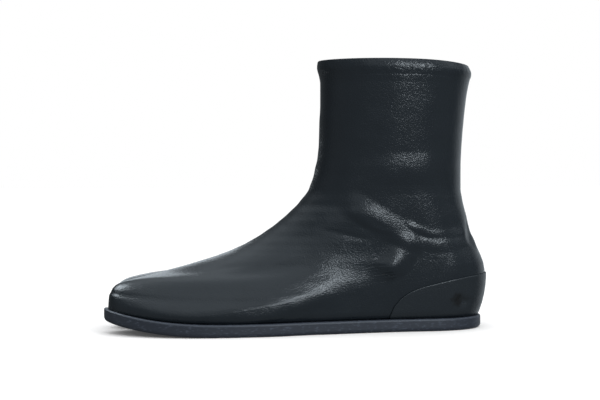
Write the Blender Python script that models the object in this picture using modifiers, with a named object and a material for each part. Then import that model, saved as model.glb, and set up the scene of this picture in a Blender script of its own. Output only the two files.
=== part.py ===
"""Split-toe leather ankle boot, left shoe: hollow upper, outsole, insole and heel counter.

+X points to the toes, +Y to the outer side of the foot, +Z up. The origin is on the floor, under the
middle of the boot.
"""

import math

import bpy
import numpy as np

# Sizes of the sole
OUTSOLE_LENGTH = 0.289
BALL_WIDTH = 0.101
HEEL_WIDTH = 0.067
SOLE_THICKNESS = 0.0095
SOLE_ROUND = 0.0028
SOLE_BEVEL = 0.0013
TOE_SPRING = 0.0096
SPRING_START = 0.70
SPRING_POWER = 2.3

# Sizes of the upper
ANKLE_HEIGHT = 0.110
BOOT_HEIGHT = 0.2032
ANKLE_WIDTH = 0.073
COLLAR_WIDTH = 0.086
COLLAR_DEPTH = 0.119
COLLAR_DROP = 0.0036
WALL = 0.0018
SOLE_MARGIN = 0.0040
TUCK = 0.0022
TUCK_HEIGHT = 0.006
HEEL_SWELL = 0.0030
HEM_HEIGHT = 0.011
HEM_STEP = 0.0004

# Sizes of the split toe
CLEFT_DEPTH = 0.048
CLEFT_GAP = 0.0024
CLEFT_OPENING = 0.0034
LOBE_STAGGER = 0.0042
SPRING_FADE_HEIGHT = 0.062

# Sizes of the insole and the heel counter
INSOLE_THICKNESS = 0.0025
COUNTER_THICKNESS = 0.0009
FIT = 0.0003
INSOLE_GAP = 0.0006

# Outline of the sole. along: share of the length from the back of the heel. swell: 0 is the heel's
# width and 1 the ball's. sway: shift to the outer side, as a share of the ball's width.
OUTLINE = (
    # along, swell, sway
    (0.155, 0.00, -0.012),
    (0.240, 0.00, 0.000),
    (0.345, 0.02, 0.032),
    (0.450, 0.10, 0.062),
    (0.550, 0.37, 0.072),
    (0.640, 0.69, 0.047),
    (0.710, 0.90, 0.017),
    (0.760, 0.98, 0.003),
    (0.830, 1.00, 0.000),
)

# Front and back of the upper at the feather line, where it meets the sole, as shares of the length
FEATHER_FRONT = 0.9895
FEATHER_BACK = 0.0107

# Top line of the foot, from the tip of the toes up to the ankle. along: share of the outsole's length
# from the back of the heel. height: share of the ankle's height.
TOP_LINE = (
    # along, height
    (0.9872, 0.250),
    (0.9823, 0.277),
    (0.9790, 0.297),
    (0.9740, 0.313),
    (0.9659, 0.330),
    (0.9550, 0.344),
    (0.9324, 0.360),
    (0.9060, 0.374),
    (0.8793, 0.387),
    (0.8529, 0.401),
    (0.8265, 0.418),
    (0.8002, 0.436),
    (0.7741, 0.455),
    (0.7479, 0.475),
    (0.7216, 0.495),
    (0.6956, 0.518),
    (0.6561, 0.559),
    (0.6165, 0.611),
    (0.5768, 0.676),
    (0.5372, 0.754),
    (0.5109, 0.816),
    (0.4846, 0.889),
)

# Back line of the heel, with the same columns.
BACK_LINE = (
    # along, height
    (0.0034, 0.143),
    (-0.0035, 0.206),
    (-0.0076, 0.264),
    (-0.0100, 0.320),
    (-0.0108, 0.376),
    (-0.0084, 0.434),
    (-0.0026, 0.484),
    (0.0058, 0.534),
    (0.0156, 0.590),
    (0.0254, 0.645),
    (0.0336, 0.710),
    (0.0402, 0.785),
    (0.0460, 0.840),
    (0.0515, 0.905),
)

# Middle and depth of the shaft. height: share of the way from the ankle to the rim. middle: share of
# the outsole's length. depth: share of the collar's depth.
SHAFT_LINE = (
    # height, middle, depth
    (0.000, 0.2570, 0.978),
    (0.135, 0.2510, 0.948),
    (0.245, 0.2470, 0.933),
    (0.368, 0.2445, 0.931),
    (0.514, 0.2420, 0.937),
    (0.663, 0.2385, 0.943),
    (0.811, 0.2352, 0.959),
    (0.886, 0.2342, 0.978),
    (0.941, 0.2345, 0.999),
    (1.000, 0.2375, 1.000),
)

# How the plan turns round at the heel and the nose. height: share of the ankle's height. heel, outer,
# inner: lengths of the turns, as shares of the ball's width. ridge: where the top line lies across.
TURNS = (
    # height, heel, outer, inner, ridge
    (0.09, 0.43, 0.80, 0.50, -0.09),
    (0.14, 0.43, 0.86, 0.51, -0.09),
    (0.25, 0.42, 1.45, 0.60, -0.09),
    (0.36, 0.42, 1.80, 0.80, -0.08),
    (0.50, 0.42, 1.42, 0.95, -0.07),
    (0.65, 0.43, 1.02, 0.85, -0.05),
    (0.85, 0.46, 0.68, 0.66, -0.03),
    (1.10, 0.50, 0.54, 0.54, -0.012),
    (1.90, 0.54, 0.58, 0.58, -0.012),
)

# Upper edge of the heel counter. along: share of the outsole's length. height: share of the ankle's.
COUNTER_EDGE = (
    # along, height
    (-0.012, 0.382),
    (0.000, 0.380),
    (0.043, 0.372),
    (0.083, 0.360),
    (0.122, 0.341),
    (0.157, 0.320),
    (0.183, 0.303),
    (0.202, 0.286),
    (0.221, 0.262),
    (0.236, 0.234),
    (0.251, 0.195),
    (0.262, 0.152),
    (0.268, 0.108),
)

# Height between the upper's rings. height and step: shares of the way from the feather line to the rim.
RING_STEPS = (
    # height, step
    (0.00, 0.0155),
    (0.09, 0.0176),
    (0.23, 0.0186),
    (0.52, 0.0620),
    (1.00, 0.1030),
)

# Room left for rings below the hem, in steps, and the place of the ring inside the hem, as a share of
# the hem's height from the rim
HEM_ROOM = 1.5
HEM_RING = 0.33

# Places across the front of the foot, as shares of the ball's width, and how full each toe's nose is
OUTER = 1
INNER = -1
CLEFT_PLACE = -0.100
TOE_PLACE = {OUTER: 0.090, INNER: -0.290}
NOSE_POWER = {OUTER: 1.15, INNER: 1.0}

# Corners of the cleft in plan: 2 is round, and more is squarer
SQUARE_CLEFT = 3.2
ROUND_CLEFT = 2.0

# Bands of level over which a form changes into the next, as shares of the ankle's height
SPLIT_BAND = (0.31, 0.53)
SHAFT_BAND = (0.18, 1.00)
CLEFT_BAND = (0.20, 0.40)
SWELL_TOP = 0.60

# Band along the foot over which the heel's swell fades, as shares of the outsole's length
SWELL_BAND = (0.15, 0.45)

# How fast the shaft opens above the ankle, and how late the rim starts to fall towards the back
FLARE = 1.3
DROP_POWER = 4

# Counts of facets round one half of the plan, from the heel's middle to the root of the cleft
HEEL_STEPS = 7
SIDE_STEPS = 9
TOE_STEPS = 10
LOBE_ROWS = 3
COUNTER_ROWS = 7
COUNTER_ROW_POWER = 1.4

# Colours of the materials
BLACK_LEATHER = (0.018, 0.021, 0.023)
GREY_RUBBER = (0.030, 0.034, 0.044)
BROWN_LEATHER = (0.055, 0.050, 0.045)

# How matt each material is
UPPER_ROUGHNESS = 0.42
COUNTER_ROUGHNESS = 0.40
RUBBER_ROUGHNESS = 0.75
INSOLE_ROUGHNESS = 0.70

HEEL_BACK = min(row[0] for row in BACK_LINE) * OUTSOLE_LENGTH - COUNTER_THICKNESS - FIT
ORIGIN_X = (OUTSOLE_LENGTH + HEEL_BACK) / 2
FEATHER = SOLE_THICKNESS + FIT
HEEL_Y = OUTLINE[0][2] * BALL_WIDTH
CLEFT_Y = CLEFT_PLACE * BALL_WIDTH
STAGGER = {OUTER: 0.0, INNER: LOBE_STAGGER}


def curve(places, values):
    """A smooth line through the values, which never swings past them."""
    places = np.asarray(places, float)
    values = np.asarray(values, float)
    steps = np.diff(places)
    rises = np.diff(values) / steps
    slopes = np.zeros(len(values))
    slopes[0] = rises[0]
    slopes[-1] = rises[-1]
    for k in range(1, len(rises)):
        if rises[k - 1] * rises[k] > 0:
            slopes[k] = 2 * rises[k - 1] * rises[k] / (rises[k - 1] + rises[k])

    def at(place):
        place = np.clip(place, places[0], places[-1])
        k = np.clip(np.searchsorted(places, place) - 1, 0, len(steps) - 1)
        t = (place - places[k]) / steps[k]
        start = values[k] + t * steps[k] * slopes[k]
        end = values[k + 1] - (1 - t) * steps[k] * slopes[k + 1]
        blend = t * t * (3 - 2 * t)
        return start + (end - start) * blend

    return at


def ease(value, low, high):
    """0 below low, 1 above high, and a soft step between."""
    t = np.clip((value - low) / (high - low), 0, 1)
    return t * t * (3 - 2 * t)


def band(level, shares):
    """How far a level is through a band of levels, from 0 to 1."""
    return ease(level / ANKLE_HEIGHT, *shares)


def along(share):
    """X of a place given as a share of the outsole's length from the back of the heel."""
    return share * OUTSOLE_LENGTH - ORIGIN_X


def spring(x):
    """How far the toe end lifts off the floor at x."""
    start = along(SPRING_START)
    reach = np.clip((x - start) / (along(1) - start), 0, 1)
    return TOE_SPRING * reach**SPRING_POWER


def level_at(x, z):
    """Level of the flat slice that the toe spring lifts to height z at x."""
    lift = spring(x) / (SPRING_FADE_HEIGHT - FEATHER)
    return np.where(z < SPRING_FADE_HEIGHT, (z - lift * SPRING_FADE_HEIGHT) / (1 - lift), z)


def height_at(x, level):
    """Height of a point of a slice, with the toe spring fading out over the foot."""
    fade = np.clip((SPRING_FADE_HEIGHT - level) / (SPRING_FADE_HEIGHT - FEATHER), 0, 1)
    return level + spring(x) * fade


def profile_lines():
    """The front and the back line of the upper, as functions of the level."""
    fronts = [(FEATHER, along(FEATHER_FRONT))]
    backs = [(FEATHER, along(FEATHER_BACK))]
    for share, height in TOP_LINE:
        x = along(share)
        fronts.append((float(level_at(x, height * ANKLE_HEIGHT)), x))
    for share, height in BACK_LINE:
        backs.append((height * ANKLE_HEIGHT, along(share)))
    for height, middle, depth in SHAFT_LINE:
        level = ANKLE_HEIGHT + height * (BOOT_HEIGHT - ANKLE_HEIGHT)
        fronts.append((level, along(middle) + depth * COLLAR_DEPTH / 2))
        backs.append((level, along(middle) - depth * COLLAR_DEPTH / 2))
    return curve(*zip(*fronts)), curve(*zip(*backs))


def outline_curves():
    """Half-width of the sole and its sway, as functions of x."""
    places = [along(row[0]) for row in OUTLINE]
    halves = [(HEEL_WIDTH + row[1] * (BALL_WIDTH - HEEL_WIDTH)) / 2 for row in OUTLINE]
    sways = [row[2] * BALL_WIDTH for row in OUTLINE]
    return curve(places, halves), curve(places, sways)


def turn_curves():
    """Lengths of the turns and the ridge's place, as functions of the level."""
    levels = [row[0] * ANKLE_HEIGHT for row in TURNS]
    return [curve(levels, [row[k] * BALL_WIDTH for row in TURNS]) for k in range(1, 5)]


FRONT, BACK = profile_lines()
SOLE_HALF, SOLE_SWAY = outline_curves()
HEEL_TURN, OUTER_TURN, INNER_TURN, RIDGE = turn_curves()


def shaft_half(level):
    """Half-width of the shaft, which opens from the ankle to the collar."""
    t = np.clip((level - ANKLE_HEIGHT) / (BOOT_HEIGHT - ANKLE_HEIGHT), 0, 1)
    return (ANKLE_WIDTH + (COLLAR_WIDTH - ANKLE_WIDTH) * t * (FLARE - (FLARE - 1) * t)) / 2


def sole_side(side, x):
    """Y of the sole's edge at x, on one side."""
    return SOLE_SWAY(x) + side * SOLE_HALF(x)


def upper_side(side, x, level):
    """Y of the upper's wall at x and a level, on one side."""
    tuck = np.clip((level - FEATHER) / TUCK_HEIGHT, 0, 1)
    bulge = TUCK * np.sin(tuck * math.pi / 2)
    heel = 1 - ease(x, along(SWELL_BAND[0]), along(SWELL_BAND[1]))
    heel_level = np.clip((level - FEATHER) / (SWELL_TOP * ANKLE_HEIGHT), 0, 1)
    swell = HEEL_SWELL * heel * math.sin(math.pi * heel_level)
    foot = sole_side(side, x) + side * (bulge + swell - SOLE_MARGIN)
    shaft = HEEL_Y + side * shaft_half(level)
    return foot + (shaft - foot) * band(level, SHAFT_BAND)


def half_line(side, wall, ends, turns, ridge, cleft, split):
    """One half of a slice's plan, from the middle of the heel to the root of the cleft."""
    back, tip = ends
    heel_turn, nose_turn = turns
    root, opening, fullness = cleft
    toe_y = TOE_PLACE[side] * BALL_WIDTH
    angle = np.linspace(0, math.pi / 2, HEEL_STEPS + 1)
    heel_x = back + heel_turn * (1 - np.cos(angle))
    heel_y = HEEL_Y + (wall(heel_x) - HEEL_Y) * np.sin(angle)
    side_x = np.linspace(back + heel_turn, tip - nose_turn, SIDE_STEPS + 1)[1:]
    side_y = wall(side_x)

    angle = np.linspace(math.pi / 2, 0, TOE_STEPS + 1)[1:]
    nose_x = tip - nose_turn * (1 - np.cos(angle))
    nose_y = toe_y + (wall(nose_x) - toe_y) * np.sin(angle) ** NOSE_POWER[side]
    angle = np.linspace(0, math.pi / 2, TOE_STEPS)[1:]
    edge = CLEFT_Y + side * opening / 2
    cleft_x = root + (tip - root) * np.abs(np.cos(angle)) ** (2 / fullness)
    cleft_y = toe_y + (edge - toe_y) * np.sin(angle) ** (2 / fullness)
    two_x = np.concatenate([nose_x, cleft_x, [root - opening / 2]])
    two_y = np.concatenate([nose_y, cleft_y, [CLEFT_Y]])

    angle = np.linspace(math.pi / 2, 0, 2 * TOE_STEPS + 1)[1:]
    one_x = tip - nose_turn * (1 - np.cos(angle))
    one_y = ridge + (wall(one_x) - ridge) * np.sin(angle)
    front_x = one_x + (two_x - one_x) * split
    front_y = one_y + (two_y - one_y) * split
    reach = (front_x - side_x[-1]) / (front_x.max() - side_x[-1])
    front_x = front_x + (tip - front_x.max()) * np.clip(reach, 0, 1)
    x = np.concatenate([heel_x, side_x, front_x])
    y = np.concatenate([heel_y, side_y, front_y])
    return np.stack([x, y], axis=1)


def closed_line(outer, inner):
    """Both halves as one loop, from the heel's middle along the outer side and back."""
    return np.concatenate([outer, inner[-2:0:-1]])


def upper_plan(level):
    """The loop of the upper's outer face at one level, in plan."""
    split = 1 - band(level, SPLIT_BAND)
    opened = band(level, CLEFT_BAND)
    opening = CLEFT_GAP + (CLEFT_OPENING - CLEFT_GAP) * opened
    fullness = SQUARE_CLEFT + (ROUND_CLEFT - SQUARE_CLEFT) * opened
    halves = []
    for side, nose in ((OUTER, OUTER_TURN), (INNER, INNER_TURN)):
        tip = FRONT(level) - STAGGER[side] * split
        halves.append(
            half_line(
                side,
                lambda x, side=side: upper_side(side, x, level),
                (BACK(level), tip),
                (HEEL_TURN(level), nose(level)),
                RIDGE(level),
                (min(along(1) - CLEFT_DEPTH, tip - opening / 2), opening, fullness),
                split,
            )
        )
    return closed_line(*halves)


def sole_plan():
    """The loop of the sole's edge, in plan."""
    halves = []
    for side, nose in ((OUTER, OUTER_TURN), (INNER, INNER_TURN)):
        halves.append(
            half_line(
                side,
                lambda x, side=side: sole_side(side, x),
                (along(0), along(1) - STAGGER[side]),
                (HEEL_TURN(FEATHER), nose(FEATHER)),
                RIDGE(FEATHER),
                (along(1) - CLEFT_DEPTH, CLEFT_GAP, SQUARE_CLEFT),
                split=1,
            )
        )
    return closed_line(*halves)


def inset(loop, distance):
    """A loop in plan moved inwards by a distance."""
    run = np.roll(loop, -1, axis=0) - np.roll(loop, 1, axis=0)
    run = run / np.linalg.norm(run, axis=1, keepdims=True)
    return loop + distance * np.stack([run[:, 1], -run[:, 0]], axis=1)


def ring(level):
    """One ring of the upper's outer face, in space."""
    plan = upper_plan(level)
    hem = ease(level, BOOT_HEIGHT - HEM_HEIGHT - HEM_STEP, BOOT_HEIGHT - HEM_HEIGHT + HEM_STEP)
    plan = inset(plan, -HEM_STEP * hem)
    behind = (FRONT(level) - plan[:, 0]) / (FRONT(level) - BACK(level))
    drop = COLLAR_DROP * (behind * level / BOOT_HEIGHT) ** DROP_POWER
    return np.column_stack([plan, height_at(plan[:, 0], level) - drop])


def ring_levels():
    """Levels of the rings: close over the toes, wider up the shaft, and two at the hem's step."""
    rise = BOOT_HEIGHT - FEATHER
    step_at = curve([FEATHER + row[0] * rise for row in RING_STEPS], [row[1] * rise for row in RING_STEPS])
    hem = BOOT_HEIGHT - HEM_HEIGHT
    levels = [FEATHER]
    while levels[-1] + HEM_ROOM * step_at(levels[-1]) < hem:
        levels.append(levels[-1] + float(step_at(levels[-1])))
    return levels + [hem - HEM_STEP, hem + HEM_STEP, BOOT_HEIGHT - HEM_RING * HEM_HEIGHT, BOOT_HEIGHT]


def material(name, colour, roughness):
    """A plain material of one colour."""
    made = bpy.data.materials.new(name)
    made.use_nodes = True
    shader = made.node_tree.nodes["Principled BSDF"]
    shader.inputs["Base Color"].default_value = (*colour, 1)
    shader.inputs["Roughness"].default_value = roughness
    shader.inputs["Metallic"].default_value = 0
    return made


def add_object(name, collection, points, faces, finish):
    """An object of the given points and faces, shaded smooth."""
    mesh = bpy.data.meshes.new(name)
    mesh.from_pydata([tuple(map(float, p)) for p in points], [], faces)
    mesh.materials.append(finish)
    mesh.shade_smooth()
    made = bpy.data.objects.new(name, mesh)
    collection.objects.link(made)
    return made


def thicken(made, thickness):
    """Gives an open surface a wall on its inner side."""
    wall = made.modifiers.new("wall", "SOLIDIFY")
    wall.thickness = thickness
    wall.offset = -1
    wall.use_rim = True


def tube_faces(rows, columns, closed=True):
    """Quads between rings of points, with the first ring at the bottom."""
    faces = []
    for r in range(rows - 1):
        for c in range(columns if closed else columns - 1):
            d = (c + 1) % columns
            low = r * columns
            high = low + columns
            faces.append((low + d, low + c, high + c, high + d))
    return faces


def make_upper(collection):
    """The hollow upper: one wall from the feather line up to the collar, open at both ends."""
    rings = [ring(level) for level in ring_levels()]
    leather = material("upper_leather", BLACK_LEATHER, UPPER_ROUGHNESS)
    faces = tube_faces(len(rings), len(rings[0]))
    made = add_object("upper", collection, np.concatenate(rings), faces, leather)
    thicken(made, WALL)


def outward(level):
    """Unit normals of the upper's outer face at one ring, pointing out."""
    step = WALL / 2
    here = ring(level)
    rise = ring(level + step) - ring(max(level - step, FEATHER))
    run = np.roll(here, -1, axis=0) - np.roll(here, 1, axis=0)
    normal = np.cross(rise, run)
    return normal / np.linalg.norm(normal, axis=1, keepdims=True)


def counter_column(levels, side, place):
    """Points up one column of the counter. place: a facet's number at the heel, or an x further on."""
    off = FIT + COUNTER_THICKNESS
    points = []
    for level in levels:
        loop = ring(level)
        normals = outward(level)
        if isinstance(place, int):
            point = loop[side * place]
            normal = normals[side * place]
        else:
            last = HEEL_STEPS + SIDE_STEPS
            half = [side * k for k in range(HEEL_STEPS, last)]
            point = np.array([np.interp(place, loop[half, 0], loop[half, k]) for k in range(3)])
            normal = np.array([np.interp(place, loop[half, 0], normals[half, k]) for k in range(3)])
        normal[2] *= min((level - FEATHER) / (2 * off), 1)
        normal = normal / np.linalg.norm(normal)
        points.append(point + normal * off)
    return points


def make_counter(collection):
    """The heel counter: a thin overlay on the upper, from the feather line up to its own edge."""
    edge = curve([along(row[0]) for row in COUNTER_EDGE], [row[1] * ANKLE_HEIGHT for row in COUNTER_EDGE])
    guide = ring(FEATHER + COUNTER_EDGE[0][1] * ANKLE_HEIGHT / 2)
    turn_end = guide[HEEL_STEPS, 0]
    beyond = [along(row[0]) for row in COUNTER_EDGE if along(row[0]) > turn_end]
    columns = []
    for side in (INNER, OUTER):
        half = [(k, guide[side * k, 0]) for k in range(0 if side == OUTER else 1, HEEL_STEPS + 1)]
        half += [(x, x) for x in beyond]
        for place, x in half if side == OUTER else half[::-1]:
            shares = np.linspace(0, 1, COUNTER_ROWS + 1) ** COUNTER_ROW_POWER
            levels = FEATHER + (edge(x) - FEATHER) * shares
            columns.append(counter_column(levels, side, place))
    rows = np.array(columns).transpose(1, 0, 2)
    leather = material("counter_leather", BLACK_LEATHER, COUNTER_ROUGHNESS)
    faces = tube_faces(len(rows), len(columns), closed=False)
    made = add_object("heel_counter", collection, np.concatenate(rows), faces, leather)
    thicken(made, COUNTER_THICKNESS)


def make_outsole(collection):
    """The split outsole, with rounded edges, the upper one less."""
    plan = sole_plan()
    eighth = 1 - math.sin(math.pi / 4)
    rows = (
        (SOLE_ROUND, 0),
        (SOLE_ROUND * eighth, SOLE_ROUND * eighth),
        (0, SOLE_ROUND),
        (0, SOLE_THICKNESS - SOLE_BEVEL),
        (SOLE_BEVEL * eighth, SOLE_THICKNESS - SOLE_BEVEL * eighth),
        (SOLE_BEVEL, SOLE_THICKNESS),
    )
    rubber = material("sole_rubber", GREY_RUBBER, RUBBER_ROUGHNESS)
    add_slab("outsole", collection, plan, rows, rubber)


def make_insole(collection):
    """The insole board, inside the upper's wall and on the outsole."""
    plan = inset(upper_plan(FEATHER), WALL + INSOLE_GAP)
    rows = ((0, FEATHER), (0, FEATHER + INSOLE_THICKNESS))
    lining = material("insole_leather", BROWN_LEATHER, INSOLE_ROUGHNESS)
    add_slab("insole", collection, plan, rows, lining)


def deck(loop):
    """Points inside a loop and downward faces that fill it: cross rows on the foot, then each lobe."""
    count = len(loop)
    root = count // 2
    last = HEEL_STEPS + SIDE_STEPS
    steps = LOBE_ROWS + 1
    points = []
    faces = []

    def across(a, b, places):
        """A row of ids from loop point a to loop point b, with new points at the places between."""
        first = count + len(points)
        points.extend(loop[a] + (loop[b] - loop[a]) * place for place in places)
        return [a, *range(first, first + len(places)), b]

    def fill(row, behind):
        for k in range(len(row) - 1):
            faces.append((row[k], row[k + 1], behind[k + 1], behind[k]))

    shares = [k / steps for k in range(1, steps)]
    outer_row = across(last, root - 1, shares)
    inner_row = across(root + 1, count - last, shares)
    full_row = [*outer_row, root, *inner_row]
    corners = np.array([loop[i] if i < count else points[i - count] for i in full_row])
    places = (corners[:, 1] - corners[0, 1]) / (corners[-1, 1] - corners[0, 1])
    bends = corners[:, 0] - corners[0, 0] - (corners[-1, 0] - corners[0, 0]) * places

    behind = across(1, count - 1, places[1:-1])
    faces.extend((0, behind[k], behind[k + 1]) for k in range(len(behind) - 1))
    for h in range(2, last):
        row = across(h, count - h, places[1:-1])
        for k in range(1, len(row) - 1):
            points[row[k] - count][0] += bends[k] * (h / last) ** 2
        fill(row, behind)
        behind = row
    fill(full_row, behind)

    for behind in (outer_row, inner_row):
        start = behind[0]
        end = behind[-1]
        for k in range(1, TOE_STEPS - 1):
            row = across(start + k, end - k, shares)
            fill(row, behind)
            behind = row
        left_tip = start + TOE_STEPS - 1
        right_tip = end - TOE_STEPS + 1
        middle = len(behind) // 2
        faces.extend((behind[k], left_tip, behind[k + 1]) for k in range(middle))
        faces.append((behind[middle], left_tip, right_tip))
        faces.extend((behind[k], right_tip, behind[k + 1]) for k in range(middle, len(behind) - 1))
    return points, faces


def add_slab(name, collection, plan, rows, finish):
    """A solid between stacked loops: rows give each loop's inset and height over the spring."""
    loops = [inset(plan, row[0]) for row in rows]
    count = len(plan)
    points = []
    for loop, row in zip(loops, rows):
        points.extend((p[0], p[1], row[1] + spring(p[0])) for p in loop)
    faces = tube_faces(len(rows), count)
    for k, flip in ((0, False), (len(rows) - 1, True)):
        inner, fills = deck(loops[k])
        start = len(points)
        points.extend((p[0], p[1], rows[k][1] + spring(p[0])) for p in inner)
        for face in fills:
            ids = [k * count + i if i < count else start + i - count for i in face]
            faces.append(ids[::-1] if flip else ids)
    add_object(name, collection, points, faces, finish)


def main():
    for old in list(bpy.data.objects):
        bpy.data.objects.remove(old, do_unlink=True)
    boot = bpy.data.collections.new("split_toe_boot")
    bpy.context.scene.collection.children.link(boot)
    make_upper(boot)
    make_outsole(boot)
    make_insole(boot)
    make_counter(boot)


main()
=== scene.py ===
"""Looks of the split-toe leather ankle boot, left shoe, as a product photograph on white.

+X points to the toes, +Y to the outer side of the foot, +Z up. Lengths are metres. The forms are worked
out by the same functions as the boot's solids, with finer steps, and then creased.
"""

import math

import bpy
import numpy as np
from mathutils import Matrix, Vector


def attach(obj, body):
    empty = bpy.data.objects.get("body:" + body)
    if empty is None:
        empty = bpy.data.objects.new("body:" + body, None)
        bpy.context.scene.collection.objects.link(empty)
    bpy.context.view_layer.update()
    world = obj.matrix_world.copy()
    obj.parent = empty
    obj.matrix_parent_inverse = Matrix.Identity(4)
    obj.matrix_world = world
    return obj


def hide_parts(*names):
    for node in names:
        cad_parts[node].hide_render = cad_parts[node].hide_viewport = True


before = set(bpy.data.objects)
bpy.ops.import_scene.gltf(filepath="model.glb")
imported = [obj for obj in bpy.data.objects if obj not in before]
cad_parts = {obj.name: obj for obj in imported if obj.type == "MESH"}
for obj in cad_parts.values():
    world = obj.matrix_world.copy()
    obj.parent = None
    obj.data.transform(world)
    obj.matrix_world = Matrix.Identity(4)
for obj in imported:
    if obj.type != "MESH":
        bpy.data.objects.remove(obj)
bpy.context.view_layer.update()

# Sizes of the sole
OUTSOLE_LENGTH = 0.289
BALL_WIDTH = 0.101
HEEL_WIDTH = 0.067
SOLE_THICKNESS = 0.0095
SOLE_ROUND = 0.0028
SOLE_BEVEL = 0.0013
TOE_SPRING = 0.0096
SPRING_START = 0.70
SPRING_POWER = 2.3

# Sizes of the upper
ANKLE_HEIGHT = 0.110
BOOT_HEIGHT = 0.2032
ANKLE_WIDTH = 0.073
COLLAR_WIDTH = 0.086
COLLAR_DEPTH = 0.119
COLLAR_DROP = 0.0036
WALL = 0.0018
SOLE_MARGIN = 0.0040
TUCK = 0.0022
TUCK_HEIGHT = 0.006
HEEL_SWELL = 0.0030
HEM_HEIGHT = 0.011
HEM_STEP = 0.0004

# Sizes of the split toe
CLEFT_DEPTH = 0.048
CLEFT_GAP = 0.0024
CLEFT_OPENING = 0.0034
LOBE_STAGGER = 0.0042
SPRING_FADE_HEIGHT = 0.062

# Sizes of the insole and the heel counter
INSOLE_THICKNESS = 0.0025
COUNTER_THICKNESS = 0.0009
FIT = 0.0003
INSOLE_GAP = 0.0006

# Outline of the sole. along: share of the length from the back of the heel. swell: 0 is the heel's
# width and 1 the ball's. sway: shift to the outer side, as a share of the ball's width.
OUTLINE = (
    # along, swell, sway
    (0.155, 0.00, -0.012),
    (0.240, 0.00, 0.000),
    (0.345, 0.02, 0.032),
    (0.450, 0.10, 0.062),
    (0.550, 0.37, 0.072),
    (0.640, 0.69, 0.047),
    (0.710, 0.90, 0.017),
    (0.760, 0.98, 0.003),
    (0.830, 1.00, 0.000),
)

# Front and back of the upper at the feather line, where it meets the sole, as shares of the length
FEATHER_FRONT = 0.9895
FEATHER_BACK = 0.0107

# Top line of the foot, from the tip of the toes up to the ankle. along: share of the outsole's length
# from the back of the heel. height: share of the ankle's height.
TOP_LINE = (
    # along, height
    (0.9872, 0.250),
    (0.9823, 0.277),
    (0.9790, 0.297),
    (0.9740, 0.313),
    (0.9659, 0.330),
    (0.9550, 0.344),
    (0.9324, 0.360),
    (0.9060, 0.374),
    (0.8793, 0.387),
    (0.8529, 0.401),
    (0.8265, 0.418),
    (0.8002, 0.436),
    (0.7741, 0.455),
    (0.7479, 0.475),
    (0.7216, 0.495),
    (0.6956, 0.518),
    (0.6561, 0.559),
    (0.6165, 0.611),
    (0.5768, 0.676),
    (0.5372, 0.754),
    (0.5109, 0.816),
    (0.4846, 0.889),
)

# Back line of the heel, with the same columns.
BACK_LINE = (
    # along, height
    (0.0034, 0.143),
    (-0.0035, 0.206),
    (-0.0076, 0.264),
    (-0.0100, 0.320),
    (-0.0108, 0.376),
    (-0.0084, 0.434),
    (-0.0026, 0.484),
    (0.0058, 0.534),
    (0.0156, 0.590),
    (0.0254, 0.645),
    (0.0336, 0.710),
    (0.0402, 0.785),
    (0.0460, 0.840),
    (0.0515, 0.905),
)

# Middle and depth of the shaft. height: share of the way from the ankle to the rim. middle: share of
# the outsole's length. depth: share of the collar's depth.
SHAFT_LINE = (
    # height, middle, depth
    (0.000, 0.2570, 0.978),
    (0.135, 0.2510, 0.948),
    (0.245, 0.2470, 0.933),
    (0.368, 0.2445, 0.931),
    (0.514, 0.2420, 0.937),
    (0.663, 0.2385, 0.943),
    (0.811, 0.2352, 0.959),
    (0.886, 0.2342, 0.978),
    (0.941, 0.2345, 0.999),
    (1.000, 0.2375, 1.000),
)

# How the plan turns round at the heel and the nose. height: share of the ankle's height. heel, outer,
# inner: lengths of the turns, as shares of the ball's width. ridge: where the top line lies across.
TURNS = (
    # height, heel, outer, inner, ridge
    (0.09, 0.43, 0.80, 0.50, -0.09),
    (0.14, 0.43, 0.86, 0.51, -0.09),
    (0.25, 0.42, 1.45, 0.60, -0.09),
    (0.36, 0.42, 1.80, 0.80, -0.08),
    (0.50, 0.42, 1.42, 0.95, -0.07),
    (0.65, 0.43, 1.02, 0.85, -0.05),
    (0.85, 0.46, 0.68, 0.66, -0.03),
    (1.10, 0.50, 0.54, 0.54, -0.012),
    (1.90, 0.54, 0.58, 0.58, -0.012),
)

# Upper edge of the heel counter. along: share of the outsole's length. height: share of the ankle's.
COUNTER_EDGE = (
    # along, height
    (-0.012, 0.382),
    (0.000, 0.380),
    (0.043, 0.372),
    (0.083, 0.360),
    (0.122, 0.341),
    (0.157, 0.320),
    (0.183, 0.303),
    (0.202, 0.286),
    (0.221, 0.262),
    (0.236, 0.234),
    (0.251, 0.195),
    (0.262, 0.152),
    (0.268, 0.108),
)

# Places across the front of the foot, as shares of the ball's width, and how full each toe's nose is
OUTER = 1
INNER = -1
CLEFT_PLACE = -0.100
TOE_PLACE = {OUTER: 0.090, INNER: -0.290}
NOSE_POWER = {OUTER: 1.15, INNER: 1.0}

# Corners of the cleft in plan: 2 is round, and more is squarer
SQUARE_CLEFT = 3.2
ROUND_CLEFT = 2.0

# Bands of level over which a form changes into the next, as shares of the ankle's height
SPLIT_BAND = (0.31, 0.53)
SHAFT_BAND = (0.18, 1.00)
CLEFT_BAND = (0.20, 0.40)
SWELL_TOP = 0.60

# Band along the foot over which the heel's swell fades, as shares of the outsole's length
SWELL_BAND = (0.15, 0.45)

# How fast the shaft opens above the ankle, and how late the rim starts to fall towards the back
FLARE = 1.3
DROP_POWER = 4

# Facets round one half of the plan, from the heel's middle to the root of the cleft
HEEL_STEPS = 34
SIDE_STEPS = 76
TOE_STEPS = 32

# Rings up the upper: their spacing in metres and how many lie over the hem's edge. The lining has every
# third of them, and the rim turns over in six steps.
RING_STEP = 0.00105
HEM_RINGS = 9
LINING_STEP = 3
RIM_STEPS = 6

# Rows of the leather that turn in over the rim, before the lining starts
TURNED_ROWS = 4

# Counter: its columns on each side past the heel's turn, its rows, and the rings read over its edge
COUNTER_STEPS = 40
COUNTER_ROWS = 44
SPARE_RINGS = 3

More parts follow.
